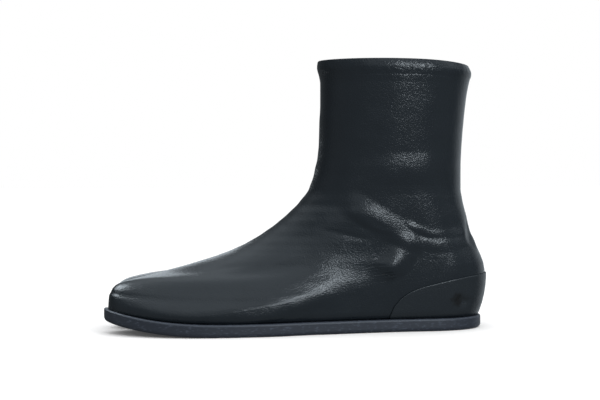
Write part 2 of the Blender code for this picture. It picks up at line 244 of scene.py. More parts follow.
# Steps round the sole's lower edge, rows up its side as shares of its thickness, and across each lobe
ROUND_STEPS = 6
SOLE_ROWS = (0.35, 0.50, 0.65, 0.80)
DECK_STEPS = 6

HEEL_BACK = min(row[0] for row in BACK_LINE) * OUTSOLE_LENGTH - COUNTER_THICKNESS - FIT
ORIGIN_X = (OUTSOLE_LENGTH + HEEL_BACK) / 2
FEATHER = SOLE_THICKNESS + FIT
HEEL_Y = OUTLINE[0][2] * BALL_WIDTH
CLEFT_Y = CLEFT_PLACE * BALL_WIDTH
STAGGER = {OUTER: 0.0, INNER: LOBE_STAGGER}

# Folds of the leather on the outer side. Each is a soft ridge, or with a rise under 0 a trough, along a
# route. rise: its height in metres. left, right: how far it reaches from its route, for someone who
# faces the leather and goes along the route. start, end: shares of the route over which it grows and
# fades. route: points of around, the length round the upper from the back of the heel as a share of
# the outsole's length, and height, as a share of the ankle's.
OUTER_FOLDS = (
    # rise, left, right, start, end, route
    (0.0015, 0.0150, 0.0100, 0.22, 0.12, (
        (0.418, 0.880), (0.385, 0.835), (0.352, 0.783), (0.322, 0.722), (0.292, 0.675), (0.262, 0.630),
        (0.225, 0.600))),
    (-0.0004, 0.0020, 0.0035, 0.35, 0.20, (
        (0.427, 0.832), (0.387, 0.764), (0.354, 0.703), (0.318, 0.668), (0.295, 0.650))),
    (-0.0003, 0.0016, 0.0030, 0.35, 0.35, ((0.365, 0.805), (0.326, 0.730), (0.300, 0.695))),
    (-0.0004, 0.0020, 0.0040, 0.35, 0.35, ((0.490, 0.705), (0.455, 0.689), (0.406, 0.662), (0.345, 0.605))),
    (0.0041, 0.0095, 0.0095, 0.80, 0.12, (
        (0.252, 0.690), (0.270, 0.612), (0.304, 0.521), (0.338, 0.446), (0.362, 0.405))),
    (0.00045, 0.0045, 0.0035, 0.12, 0.10, (
        (0.262, 0.770), (0.216, 0.687), (0.177, 0.665), (0.107, 0.674), (0.070, 0.710))),
    (0.0005, 0.0050, 0.0070, 0.15, 0.10, (
        (0.262, 0.640), (0.229, 0.608), (0.190, 0.600), (0.147, 0.612), (0.100, 0.640), (0.070, 0.690))),
    (-0.0010, 0.0045, 0.0045, 0.35, 0.35, ((0.050, 0.800), (0.050, 0.700), (0.070, 0.640), (0.092, 0.580))),
    (0.0007, 0.0045, 0.0040, 0.35, 0.35, ((0.030, 0.665), (0.045, 0.600), (0.062, 0.540))),
    (0.0012, 0.0140, 0.0180, 0.35, 0.35, ((0.370, 1.080), (0.270, 1.095), (0.180, 1.100), (0.090, 1.095))),
    (0.0011, 0.0130, 0.0070, 0.35, 0.35, (
        (0.820, 0.100), (0.713, 0.112), (0.640, 0.150), (0.576, 0.205), (0.480, 0.270))),
    (0.0009, 0.0200, 0.0140, 0.30, 0.50, (
        (0.670, 0.150), (0.590, 0.208), (0.525, 0.250), (0.475, 0.274), (0.430, 0.284))),
    (-0.0022, 0.0040, 0.0060, 0.35, 0.35, ((0.160, 0.245), (0.145, 0.225), (0.128, 0.200), (0.100, 0.185))),
)

# Shape of a fold across its route, the width over which its two reaches blend, and steps along it
FOLD_POWER = 1.5
FOLD_BLEND = 0.0008
ROUTE_STEPS = 150

# Swelling of the turned hem at the collar. height: share of the hem's height, over 0 on the hem.
HEM_SWELL = (
    # height, swell
    (-0.60, 0.00000),
    (-0.10, 0.00008),
    (0.00, 0.00002),
    (0.10, 0.00010),
    (0.40, 0.00018),
    (0.75, -0.00028),
    (1.00, -0.00110),
)

# Leather outside. Gloss is the specular level, and the roughness wanders a little less or more than its
# own value. A noise is given by its scale, in waves per metre, and its detail.
LEATHER_DARK = (0.0075, 0.0105, 0.0135)
LEATHER_LIGHT = (0.0115, 0.0150, 0.0185)
LEATHER_CLOUDS = (60, 4)
UPPER_ROUGHNESS = 0.20
COUNTER_ROUGHNESS = 0.28
UPPER_GLOSS = 0.34
COUNTER_GLOSS = 0.42
ROUGHNESS_LESS = 0.04
ROUGHNESS_MORE = 0.08
ROUGHNESS_SPOTS = (900, 2)

# Bumps of the leather: a noise each, with the bump's strength and its depth in metres
SOFT_NOISE = (70, 3)
SOFT_BUMP = (0.28, 0.0014)
CRINKLE_NOISE = (330, 3)
CRINKLE_BUMP = (0.45, 0.0009)
FINE_NOISE = (2600, 3)
FINE_BUMP = (0.5, 0.00006)

# Where the crinkles start and are full, in hem heights under the rim
CRINKLE_START = 1.5
CRINKLE_FULL = 0.7

# Pebbles of the leather: cells per metre, how they run together, and the noise that bends them
PEBBLE_CELLS = 1050
PEBBLE_SMOOTHNESS = 0.6
PEBBLE_BUMP = (0.9, 0.00013)
PEBBLE_WARP = (420, 2)
PEBBLE_SHIFT = 0.0009

# Painted shade in the counter's dent, a dark mark in the leather's colour. Its place, in the folds' own
# shares, its size in metres, the shares of that size between which it fades out, the noise that makes it
# ragged, and its colour
DENT_SHADE_AROUND = 0.153
DENT_SHADE_HEIGHT = 0.218
DENT_SHADE_SIZE = 0.0085
DENT_SHADE_EDGE = (0.8, 1.3)
DENT_SHADE_RAG = (260, 3)
DENT_SHADE_COLOUR = (0.0008, 0.0010, 0.0013)

# Leather inside
LINING_DARK = (0.014, 0.013, 0.012)
LINING_LIGHT = (0.026, 0.023, 0.021)
INSOLE_DARK = (0.022, 0.019, 0.016)
INSOLE_LIGHT = (0.038, 0.033, 0.028)
INSIDE_CLOUDS = (70, 4)
INSIDE_ROUGHNESS = 0.62
NAP_NOISE = (1400, 3)
NAP_BUMP = (0.6, 0.0001)

# Rubber of the sole, its bevel, painted lighter as a highlight where it faces up, and its specks of wear,
# which are drawn out along the floor
RUBBER_DARK = (0.017, 0.020, 0.029)
BEVEL_PAINTED_HIGHLIGHT = (0.028, 0.033, 0.045)
RUBBER_WORN = (0.060, 0.068, 0.090)
RUBBER_ROUGHNESS = 0.48
SPECK_NOISE = (900, 4)
SPECK_STRETCH = (0.35, 0.35, 1)
SPECK_BAND = (0.55, 0.75)
SPECK_BUMP = (0.5, 0.0002)

# Floor: its size and the reach of the boot's contact shadow in metres, the rays that look for the boot,
# and the floor's own light in the shadow and out of it
FLOOR_SIZE = 12
FLOOR_COLOUR = (0.86, 0.78, 0.73)
FLOOR_ROUGHNESS = 0.9
FLOOR_GLOSS = 0.1
SHADOW_REACH = 0.06
SHADOW_SAMPLES = 16
SHADOW_LIGHT = 0.03
OPEN_LIGHT = 0.46

# Strength of the room behind the boot, and on the camera's side, and the colours of its light: cool on
# the boot, and plain white for the camera
BACK_SHADE = 0.14
ROOM_SHADE = 0.37
COOL_WHITE = (0.84, 0.93, 1.0)
WHITE = (1, 1, 1)

# Glows of the room. start, end: cosines of the angle from the glow's middle between which it rises from
# the shade behind the boot to its strength. Azimuths run from +Y towards +X, in degrees.
GLOWS = (
    # azimuth, elevation, start, end, strength
    (8, 0, -0.35, 0.25, ROOM_SHADE),
    (0, 90, 0.43, 0.95, 1.45),
    (-140, 0, 0.70, 0.98, 0.65),
)

# Soft lights, aimed at the boot's middle. Distances and sizes are metres, and powers watts.
SOFTBOXES = (
    # name, azimuth, elevation, distance, width, height, power
    ("key", -26, 18, 1.3, 0.65, 0.21, 7.2),
    ("panel", 2, 33, 1.6, 1.8, 1.3, 3.9),
    ("side", -78, 30, 1.6, 0.9, 0.8, 1.9),
)

# Cards that only gloss shows. spread: width of the beam, in degrees. roll: turn of the card, in degrees.
CARDS = (
    # name, aim, azimuth, elevation, distance, width, height, power, spread, roll
    ("card_behind", (0.112, -0.01, 0.093), 180, 0, 0.15, 0.12, 0.070, 0.034, 180, -18),
    ("card_over_toes", (0.145, -0.01, 0.045), 115, 45, 0.20, 0.12, 0.120, 0.036, 44, 0),
)

# Camera: the lens and the sensor's width in millimetres, its place and what it looks at
LENS = 78.67
SENSOR = 36
CAMERA_PLACE = (0.1329, 0.9899, 0.125)
CAMERA_AIM = (-0.0015, -0.0015, 0.0981)


def curve(places, values):
    """A smooth line through the values, which never swings past them."""
    places = np.asarray(places, float)
    values = np.asarray(values, float)
    steps = np.diff(places)
    rises = np.diff(values) / steps
    slopes = np.zeros(len(values))
    slopes[0] = rises[0]
    slopes[-1] = rises[-1]
    for k in range(1, len(rises)):
        if rises[k - 1] * rises[k] > 0:
            slopes[k] = 2 * rises[k - 1] * rises[k] / (rises[k - 1] + rises[k])

    def at(place):
        """The line's value at a place, or at each of many."""
        place = np.clip(place, places[0], places[-1])
        k = np.clip(np.searchsorted(places, place) - 1, 0, len(steps) - 1)
        t = (place - places[k]) / steps[k]
        start = values[k] + t * steps[k] * slopes[k]
        end = values[k + 1] - (1 - t) * steps[k] * slopes[k + 1]
        blend = t * t * (3 - 2 * t)
        return start + (end - start) * blend

    return at


def ease(value, low, high):
    """0 below low, 1 above high, and a soft step between."""
    t = np.clip((value - low) / (high - low), 0, 1)
    return t * t * (3 - 2 * t)


def band(level, shares):
    """How far a level is through a band of levels, from 0 to 1."""
    return ease(level / ANKLE_HEIGHT, *shares)


def along(share):
    """X of a place given as a share of the outsole's length from the back of the heel."""
    return share * OUTSOLE_LENGTH - ORIGIN_X


def spring(x):
    """How far the toe end lifts off the floor at x."""
    start = along(SPRING_START)
    reach = np.clip((x - start) / (along(1) - start), 0, 1)
    return TOE_SPRING * reach**SPRING_POWER


def level_at(x, z):
    """Level of the flat slice that the toe spring lifts to height z at x."""
    lift = spring(x) / (SPRING_FADE_HEIGHT - FEATHER)
    return np.where(z < SPRING_FADE_HEIGHT, (z - lift * SPRING_FADE_HEIGHT) / (1 - lift), z)


def height_at(x, level):
    """Height of a point of a slice, with the toe spring fading out over the foot."""
    fade = np.clip((SPRING_FADE_HEIGHT - level) / (SPRING_FADE_HEIGHT - FEATHER), 0, 1)
    return level + spring(x) * fade


def profile_lines():
    """The front and the back line of the upper, as functions of the level."""
    fronts = [(FEATHER, along(FEATHER_FRONT))]
    backs = [(FEATHER, along(FEATHER_BACK))]
    for share, height in TOP_LINE:
        x = along(share)
        fronts.append((float(level_at(x, height * ANKLE_HEIGHT)), x))
    for share, height in BACK_LINE:
        backs.append((height * ANKLE_HEIGHT, along(share)))
    for height, middle, depth in SHAFT_LINE:
        level = ANKLE_HEIGHT + height * (BOOT_HEIGHT - ANKLE_HEIGHT)
        fronts.append((level, along(middle) + depth * COLLAR_DEPTH / 2))
        backs.append((level, along(middle) - depth * COLLAR_DEPTH / 2))
    return curve(*zip(*fronts)), curve(*zip(*backs))


def outline_curves():
    """Half-width of the sole and its sway, as functions of x."""
    places = [along(row[0]) for row in OUTLINE]
    halves = [(HEEL_WIDTH + row[1] * (BALL_WIDTH - HEEL_WIDTH)) / 2 for row in OUTLINE]
    sways = [row[2] * BALL_WIDTH for row in OUTLINE]
    return curve(places, halves), curve(places, sways)


def turn_curves():
    """Lengths of the turns and the ridge's place, as functions of the level."""
    levels = [row[0] * ANKLE_HEIGHT for row in TURNS]
    return [curve(levels, [row[k] * BALL_WIDTH for row in TURNS]) for k in range(1, 5)]


FRONT, BACK = profile_lines()
SOLE_HALF, SOLE_SWAY = outline_curves()
HEEL_TURN, OUTER_TURN, INNER_TURN, RIDGE = turn_curves()
HEM_PUFF = curve(*zip(*HEM_SWELL))


def shaft_half(level):
    """Half-width of the shaft, which opens from the ankle to the collar."""
    t = np.clip((level - ANKLE_HEIGHT) / (BOOT_HEIGHT - ANKLE_HEIGHT), 0, 1)
    return (ANKLE_WIDTH + (COLLAR_WIDTH - ANKLE_WIDTH) * t * (FLARE - (FLARE - 1) * t)) / 2


def sole_side(side, x):
    """Y of the sole's edge at x, on one side."""
    return SOLE_SWAY(x) + side * SOLE_HALF(x)


def upper_side(side, x, level):
    """Y of the upper's wall at x and a level, on one side."""
    tuck = np.clip((level - FEATHER) / TUCK_HEIGHT, 0, 1)
    bulge = TUCK * np.sin(tuck * math.pi / 2)
    heel = 1 - ease(x, along(SWELL_BAND[0]), along(SWELL_BAND[1]))
    heel_level = np.clip((level - FEATHER) / (SWELL_TOP * ANKLE_HEIGHT), 0, 1)
    swell = HEEL_SWELL * heel * math.sin(math.pi * heel_level)
    foot = sole_side(side, x) + side * (bulge + swell - SOLE_MARGIN)
    shaft = HEEL_Y + side * shaft_half(level)
    return foot + (shaft - foot) * band(level, SHAFT_BAND)


def half_line(side, wall, ends, turns, ridge, cleft, split):
    """One half of a slice's plan, from the middle of the heel to the root of the cleft."""
    back, tip = ends
    heel_turn, nose_turn = turns
    root, opening, fullness = cleft
    toe_y = TOE_PLACE[side] * BALL_WIDTH
    angle = np.linspace(0, math.pi / 2, HEEL_STEPS + 1)
    heel_x = back + heel_turn * (1 - np.cos(angle))
    heel_y = HEEL_Y + (wall(heel_x) - HEEL_Y) * np.sin(angle)
    side_x = np.linspace(back + heel_turn, tip - nose_turn, SIDE_STEPS + 1)[1:]
    side_y = wall(side_x)

    angle = np.linspace(math.pi / 2, 0, TOE_STEPS + 1)[1:]
    nose_x = tip - nose_turn * (1 - np.cos(angle))
    nose_y = toe_y + (wall(nose_x) - toe_y) * np.sin(angle) ** NOSE_POWER[side]
    angle = np.linspace(0, math.pi / 2, TOE_STEPS)[1:]
    edge = CLEFT_Y + side * opening / 2
    cleft_x = root + (tip - root) * np.abs(np.cos(angle)) ** (2 / fullness)
    cleft_y = toe_y + (edge - toe_y) * np.sin(angle) ** (2 / fullness)
    two_x = np.concatenate([nose_x, cleft_x, [root - opening / 2]])
    two_y = np.concatenate([nose_y, cleft_y, [CLEFT_Y]])

    angle = np.linspace(math.pi / 2, 0, 2 * TOE_STEPS + 1)[1:]
    one_x = tip - nose_turn * (1 - np.cos(angle))
    one_y = ridge + (wall(one_x) - ridge) * np.sin(angle)
    front_x = one_x + (two_x - one_x) * split
    front_y = one_y + (two_y - one_y) * split
    reach = (front_x - side_x[-1]) / (front_x.max() - side_x[-1])
    front_x = front_x + (tip - front_x.max()) * np.clip(reach, 0, 1)
    x = np.concatenate([heel_x, side_x, front_x])
    y = np.concatenate([heel_y, side_y, front_y])
    return np.stack([x, y], axis=1)


def closed_line(outer, inner):
    """Both halves as one loop, from the heel's middle along the outer side and back."""
    return np.concatenate([outer, inner[-2:0:-1]])


def upper_plan(level):
    """The loop of the upper's outer face at one level, in plan."""
    split = 1 - band(level, SPLIT_BAND)
    opened = band(level, CLEFT_BAND)
    opening = CLEFT_GAP + (CLEFT_OPENING - CLEFT_GAP) * opened
    fullness = SQUARE_CLEFT + (ROUND_CLEFT - SQUARE_CLEFT) * opened
    halves = []
    for side, nose in ((OUTER, OUTER_TURN), (INNER, INNER_TURN)):
        tip = FRONT(level) - STAGGER[side] * split
        halves.append(
            half_line(
                side,
                lambda x, side=side: upper_side(side, x, level),
                (BACK(level), tip),
                (HEEL_TURN(level), nose(level)),
                RIDGE(level),
                (min(along(1) - CLEFT_DEPTH, tip - opening / 2), opening, fullness),
                split,
            )
        )
    return closed_line(*halves)


def sole_plan():
    """The loop of the sole's edge, in plan."""
    halves = []
    for side, nose in ((OUTER, OUTER_TURN), (INNER, INNER_TURN)):
        halves.append(
            half_line(
                side,
                lambda x, side=side: sole_side(side, x),
                (along(0), along(1) - STAGGER[side]),
                (HEEL_TURN(FEATHER), nose(FEATHER)),
                RIDGE(FEATHER),
                (along(1) - CLEFT_DEPTH, CLEFT_GAP, SQUARE_CLEFT),
                split=1,
            )
        )
    return closed_line(*halves)


def inset(loop, distance):
    """A loop in plan moved inwards by a distance."""
    run = np.roll(loop, -1, axis=0) - np.roll(loop, 1, axis=0)
    run = run / np.linalg.norm(run, axis=1, keepdims=True)
    return loop + distance * np.stack([run[:, 1], -run[:, 0]], axis=1)


def ring(level):
    """One ring of the upper's outer face, in space."""
    plan = upper_plan(level)
    hem = (level - BOOT_HEIGHT) / HEM_HEIGHT + 1
    plan = inset(plan, -float(HEM_PUFF(hem)))
    behind = (FRONT(level) - plan[:, 0]) / (FRONT(level) - BACK(level))
    drop = COLLAR_DROP * (behind * level / BOOT_HEIGHT) ** DROP_POWER
    return np.column_stack([plan, height_at(plan[:, 0], level) - drop])


def ring_levels():
    """Levels of the rings, evenly up the upper, and closer over the hem's edge."""
    hem = BOOT_HEIGHT - HEM_HEIGHT
    below = np.linspace(FEATHER, hem - 3 * HEM_STEP, round((hem - FEATHER) / RING_STEP))
    edge = np.linspace(hem - 2 * HEM_STEP, hem + 2 * HEM_STEP, HEM_RINGS)
    above = np.linspace(hem + 3 * HEM_STEP, BOOT_HEIGHT, round(HEM_HEIGHT / RING_STEP))
    return np.concatenate([below, edge, above])


def grid_normals(grid):
    """Unit normals of a grid of rings, pointing out."""
    run = np.roll(grid, -1, axis=1) - np.roll(grid, 1, axis=1)
    rise = np.gradient(grid, axis=0)
    normals = np.cross(rise, run)
    return normals / np.linalg.norm(normals, axis=2, keepdims=True)


def lengths_around(grid):
    """Length round each ring from the back of the heel: over 0 on the outer side, under 0 on the inner."""
    steps = np.linalg.norm(np.roll(grid, -1, axis=1) - grid, axis=2)
    whole = steps.sum(axis=1, keepdims=True)
    lengths = np.concatenate([np.zeros((len(grid), 1)), np.cumsum(steps, axis=1)[:, :-1]], axis=1)
    half = grid.shape[1] // 2
    lengths[:, half + 1 :] -= whole
    return lengths


def smooth_route(points):
    """Many points on one smooth line through a route's points."""
    points = np.asarray(points, float)
    places = np.arange(len(points))
    fine = np.linspace(0, len(points) - 1, ROUTE_STEPS)
    return np.column_stack([curve(places, points[:, k])(fine) for k in range(2)])


def fold_depth(around, height, rise, left, right, start, end, route):
    """Height of one fold over the leather, at places given by the length around and the height."""
    line = smooth_route(route) * (OUTSOLE_LENGTH, ANKLE_HEIGHT)
    way = np.gradient(line, axis=0)
    reach = max(left, right)
    depth = np.zeros(around.shape)
    near = (around > line[:, 0].min() - reach) & (around < line[:, 0].max() + reach)
    near &= (height > line[:, 1].min() - reach) & (height < line[:, 1].max() + reach)
    gap = np.stack([around[near], height[near]], axis=1)[:, None] - line
    distance = np.linalg.norm(gap, axis=2)
    nearest = distance.argmin(axis=1)
    gap = gap[np.arange(len(gap)), nearest]
    turn = way[nearest, 0] * gap[:, 1] - way[nearest, 1] * gap[:, 0]
    aside = turn / np.linalg.norm(way[nearest], axis=1)
    width = left + (right - left) * (0.5 + 0.5 * np.tanh(aside / FOLD_BLEND))
    share = nearest / (len(line) - 1)
    taper = ease(share, 0, start) * ease(1 - share, 0, end)
    depth[near] = rise * taper * np.clip(1 - (distance.min(axis=1) / width) ** 2, 0, 1) ** FOLD_POWER
    return depth


def creased(grid):
    """The grid with its folds."""
    around = lengths_around(grid)
    height = grid[:, :, 2]
    rise = np.zeros(around.shape)
    for fold in OUTER_FOLDS:
        rise += fold_depth(around, height, *fold)
    return grid + grid_normals(grid) * rise[:, :, None]


def tube_faces(rows, columns, closed=True):
    """Quads between rings of points, with the first ring at the bottom."""
    faces = []
    for r in range(rows - 1):
        for c in range(columns if closed else columns - 1):
            d = (c + 1) % columns
            low = r * columns
            high = low + columns
            faces.append((low + d, low + c, high + c, high + d))
    return faces


def add_piece(name, points, faces, materials, nodes):
    """A smooth piece that rides on the boot, with its materials and the solids that it stands for."""
    mesh = bpy.data.meshes.new(name)
    mesh.from_pydata(np.asarray(points, float).tolist(), [], faces)
    for made in materials:
        mesh.materials.append(made)
    mesh.shade_smooth()
    piece = bpy.data.objects.new(name, mesh)
    bpy.context.scene.collection.objects.link(piece)
    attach(piece, "root")
    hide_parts(*nodes)
    return piece


def new_material(name):
    """A new material, with its node tree and its Principled shader."""
    made = bpy.data.materials.new(name)
    made.use_nodes = True
    return made, made.node_tree, made.node_tree.nodes["Principled BSDF"]


def set_inputs(tree, node, values):
    """Sets a node's inputs: a socket is linked, and anything else is a value."""
    for key, value in values.items():
        if isinstance(value, bpy.types.NodeSocket):
            tree.links.new(value, node.inputs[key])
        else:
            node.inputs[key].default_value = value


def add_node(tree, kind, values, **settings):
    """A new node, with its settings and its inputs."""
    node = tree.nodes.new(kind)
    for key, value in settings.items():
        setattr(node, key, value)
    set_inputs(tree, node, values)
    return node


def places_on(tree):
    """Places on a piece, for its textures."""
    return tree.nodes.new("ShaderNodeTexCoord").outputs["Object"]


def noise(tree, place, scale, detail, output="Fac"):
    """Soft noise over the places."""
    values = {"Vector": place, "Scale": scale, "Detail": detail}
    return add_node(tree, "ShaderNodeTexNoise", values).outputs[output]


def combined(tree, operation, *values):
    """Values put together by one operation."""
    return add_node(tree, "ShaderNodeMath", dict(enumerate(values)), operation=operation).outputs[0]


def ranged(tree, value, start, end, low, high, **settings):
    """A value taken from one range to another, and held inside it."""
    values = {"Value": value, "From Min": start, "From Max": end, "To Min": low, "To Max": high}
    return add_node(tree, "ShaderNodeMapRange", values, **settings).outputs[0]


def mixed(tree, share, first, second):
    """A blend of two colours, each given as numbers or as a socket."""
    values = {0: share}
    for key, colour in ((6, first), (7, second)):
        values[key] = (*colour, 1) if isinstance(colour, tuple) else colour
    return add_node(tree, "ShaderNodeMix", values, data_type="RGBA").outputs[2]


def bumped(tree, height, strength, depth, under=None):
    """The normal of a bump, over the normal of the one under it."""
    values = {"Height": height, "Strength": strength, "Distance": depth}
    if under is not None:
        values["Normal"] = under
    return add_node(tree, "ShaderNodeBump", values).outputs["Normal"]


def inside_leather(name, dark, light):
    """Soft matt leather of the inside, clouded between two tones, with a faint nap."""
    made, tree, shader = new_material(name)
    place = places_on(tree)
    values = {
        "Base Color": mixed(tree, noise(tree, place, *INSIDE_CLOUDS), dark, light),
        "Normal": bumped(tree, noise(tree, place, *NAP_NOISE), *NAP_BUMP),
        "Roughness": INSIDE_ROUGHNESS,
    }
    set_inputs(tree, shader, values)
    return made


def pebbles(tree, place):
    """Heights of the leather's pebbles, 1 in their middles."""
    warp = noise(tree, place, *PEBBLE_WARP, output="Color")
    values = {0: warp, 1: (PEBBLE_SHIFT,) * 3, 2: place}
    shifted = add_node(tree, "ShaderNodeVectorMath", values, operation="MULTIPLY_ADD").outputs[0]
    values = {"Vector": shifted, "Scale": PEBBLE_CELLS, "Smoothness": PEBBLE_SMOOTHNESS}
    cells = add_node(tree, "ShaderNodeTexVoronoi", values, feature="SMOOTH_F1")
    return combined(tree, "SUBTRACT", 1, cells.outputs["Distance"])


def crinkles(tree, place):
    """Heights of the crinkles in the turned hem at the collar."""
    height = add_node(tree, "ShaderNodeSeparateXYZ", {0: place}).outputs["Z"]
    start = BOOT_HEIGHT - CRINKLE_START * HEM_HEIGHT
    full = BOOT_HEIGHT - CRINKLE_FULL * HEM_HEIGHT
    collar = ranged(tree, height, start, full, 0, 1)
    return combined(tree, "MULTIPLY", noise(tree, place, *CRINKLE_NOISE), collar)


def leather_material(name, roughness, gloss):
    """Black pebbled leather: soft unevenness, crinkles at the collar, pebbles and a fine grain."""
    made, tree, shader = new_material(name)
    place = places_on(tree)
    normal = bumped(tree, noise(tree, place, *SOFT_NOISE), *SOFT_BUMP)
    normal = bumped(tree, crinkles(tree, place), *CRINKLE_BUMP, normal)
    normal = bumped(tree, pebbles(tree, place), *PEBBLE_BUMP, normal)
    normal = bumped(tree, noise(tree, place, *FINE_NOISE), *FINE_BUMP, normal)
    spots = noise(tree, place, *ROUGHNESS_SPOTS)
    values = {
        "Base Color": mixed(tree, noise(tree, place, *LEATHER_CLOUDS), LEATHER_DARK, LEATHER_LIGHT),
        "Normal": normal,
        "Roughness": ranged(tree, spots, 0, 1, roughness - ROUGHNESS_LESS, roughness + ROUGHNESS_MORE),
        "Specular IOR Level": gloss,
    }
    set_inputs(tree, shader, values)
    return made


def add_dent_shade(made, middle):
    """Painted shade of a dent: a dark, ragged mark in the leather's colour, round one place."""
    tree = made.node_tree
    shader = tree.nodes["Principled BSDF"]
    place = places_on(tree)
    values = {0: place, 1: [float(v) for v in middle]}
    distance = add_node(tree, "ShaderNodeVectorMath", values, operation="DISTANCE").outputs["Value"]
    ragged = combined(tree, "MULTIPLY_ADD", noise(tree, place, *DENT_SHADE_RAG), DENT_SHADE_SIZE, distance)
    start, end = DENT_SHADE_EDGE
    amount = ranged(tree, ragged, start * DENT_SHADE_SIZE, end * DENT_SHADE_SIZE, 1, 0)
    unshaded = shader.inputs["Base Color"].links[0].from_socket
    set_inputs(tree, shader, {"Base Color": mixed(tree, amount, unshaded, DENT_SHADE_COLOUR)})


def rubber_material(name, dark):
    """Dark blue-grey rubber of the sole's edge, with faint specks of wear along it."""
    made, tree, shader = new_material(name)
    values = {0: places_on(tree), 1: SPECK_STRETCH}
    place = add_node(tree, "ShaderNodeVectorMath", values, operation="MULTIPLY").outputs[0]
    specks = noise(tree, place, *SPECK_NOISE)
    values = {
        "Base Color": mixed(tree, ranged(tree, specks, *SPECK_BAND, 0, 1), dark, RUBBER_WORN),
        "Normal": bumped(tree, specks, *SPECK_BUMP),
        "Roughness": RUBBER_ROUGHNESS,
    }
    set_inputs(tree, shader, values)
    return made


def paint_from(piece, first, last=None):
    """Gives a run of a piece's faces its second material."""
    for polygon in list(piece.data.polygons)[first:last]:
        polygon.material_index = 1


def make_upper():
    """The upper: creased leather outside, a rolled rim, and the lining inside, as one closed wall."""
    outer = creased(np.array([ring(level) for level in ring_levels()]))
    normals = grid_normals(outer)
    columns = outer.shape[1]
    inner = outer - normals * WALL
    top = (outer[-1] + inner[-1]) / 2
    half = (outer[-1] - inner[-1]) / 2
    size = np.linalg.norm(half, axis=1, keepdims=True)
    turns = np.linspace(0, math.pi, RIM_STEPS + 1)[1:-1]
    rim = [top + half * math.cos(t) + np.array([0, 0, 1]) * size * math.sin(t) for t in turns]
    rows = list(range(len(outer) - 1, 0, -LINING_STEP)) + [0]
    points = np.concatenate([*outer, *rim, *inner[rows]])
    count = len(outer) + len(rim) + len(rows)
    faces = tube_faces(count, columns)
    last = (count - 1) * columns
    for c in range(columns):
        d = (c + 1) % columns
        faces.append((last + d, last + c, c, d))
    leather = leather_material("black_leather", UPPER_ROUGHNESS, UPPER_GLOSS)
    lining = inside_leather("lining_leather", LINING_DARK, LINING_LIGHT)
    piece = add_piece("upper_shell", points, faces, [leather, lining], ["upper"])
    paint_from(piece, (len(outer) + len(rim) + TURNED_ROWS) * columns)
    return outer


def deck(loop):
    """Points inside a loop and downward faces that fill it: cross rows on the foot, then each lobe."""
    count = len(loop)
    root = count // 2
    last = HEEL_STEPS + SIDE_STEPS
    points = []
    faces = []

    def across(a, b, places):
        """A row of ids from loop point a to loop point b, with new points at the places between."""
        first = count + len(points)
        points.extend(loop[a] + (loop[b] - loop[a]) * place for place in places)
        return [a, *range(first, first + len(places)), b]

    def fill(row, behind):
        """Faces between a row of ids and the row behind it."""
        for k in range(len(row) - 1):
            faces.append((row[k], row[k + 1], behind[k + 1], behind[k]))

    shares = [k / DECK_STEPS for k in range(1, DECK_STEPS)]
    outer_row = across(last, root - 1, shares)
    inner_row = across(root + 1, count - last, shares)
    full_row = [*outer_row, root, *inner_row]
    corners = np.array([loop[i] if i < count else points[i - count] for i in full_row])
    places = (corners[:, 1] - corners[0, 1]) / (corners[-1, 1] - corners[0, 1])
    bends = corners[:, 0] - corners[0, 0] - (corners[-1, 0] - corners[0, 0]) * places

    behind = across(1, count - 1, places[1:-1])
    faces.extend((0, behind[k], behind[k + 1]) for k in range(len(behind) - 1))
    for h in range(2, last):
        row = across(h, count - h, places[1:-1])
        for k in range(1, len(row) - 1):
            points[row[k] - count][0] += bends[k] * (h / last) ** 2
        fill(row, behind)
        behind = row
    fill(full_row, behind)

    for behind in (outer_row, inner_row):
        start = behind[0]
        end = behind[-1]
        for k in range(1, TOE_STEPS - 1):
            row = across(start + k, end - k, shares)
            fill(row, behind)
            behind = row
        left_tip = start + TOE_STEPS - 1
        right_tip = end - TOE_STEPS + 1
        middle = len(behind) // 2
        faces.extend((behind[k], left_tip, behind[k + 1]) for k in range(middle))
        faces.append((behind[middle], left_tip, right_tip))
        faces.extend((behind[k], right_tip, behind[k + 1]) for k in range(middle, len(behind) - 1))
    return points, faces


def add_slab(name, plan, rows, materials, nodes):
    """A solid between stacked loops: rows give each loop's inset and height over the spring."""
    loops = [inset(plan, row[0]) for row in rows]
    count = len(plan)
    points = []
    for loop, row in zip(loops, rows):
        points.extend((p[0], p[1], row[1] + spring(p[0])) for p in loop)
    faces = tube_faces(len(rows), count)
    for k, flip in ((0, False), (len(rows) - 1, True)):
        inner, fills = deck(loops[k])
        start = len(points)
        points.extend((p[0], p[1], rows[k][1] + spring(p[0])) for p in inner)
        for face in fills:
            ids = [k * count + i if i < count else start + i - count for i in face]
            faces.append(ids[::-1] if flip else ids)
    return add_piece(name, points, faces, materials, nodes)


def make_outsole():
    """The split rubber outsole, round at its lower edge, with a bevel on top that is painted lighter as a
    highlight.
    """
    turns = np.linspace(0, math.pi / 2, ROUND_STEPS + 1)
    rows = [(SOLE_ROUND * (1 - math.sin(t)), SOLE_ROUND * (1 - math.cos(t))) for t in turns]
    rows += [(0, SOLE_THICKNESS * share) for share in SOLE_ROWS]
    top = SOLE_THICKNESS - SOLE_BEVEL
    bevel = [(SOLE_BEVEL * (1 - math.cos(t)), top + SOLE_BEVEL * math.sin(t)) for t in turns[::2]]
    rows += bevel
    plan = sole_plan()
    rubber = rubber_material("sole_rubber", RUBBER_DARK)
    # The bevel's lighter tone is a painted highlight, where the top edge faces the light from above
    bevel_highlight = rubber_material("sole_rubber_bevel_highlight", BEVEL_PAINTED_HIGHLIGHT)
    piece = add_slab("sole", plan, rows, [rubber, bevel_highlight], ["outsole"])
    paint_from(piece, (len(rows) - len(bevel)) * len(plan), (len(rows) - 1) * len(plan))


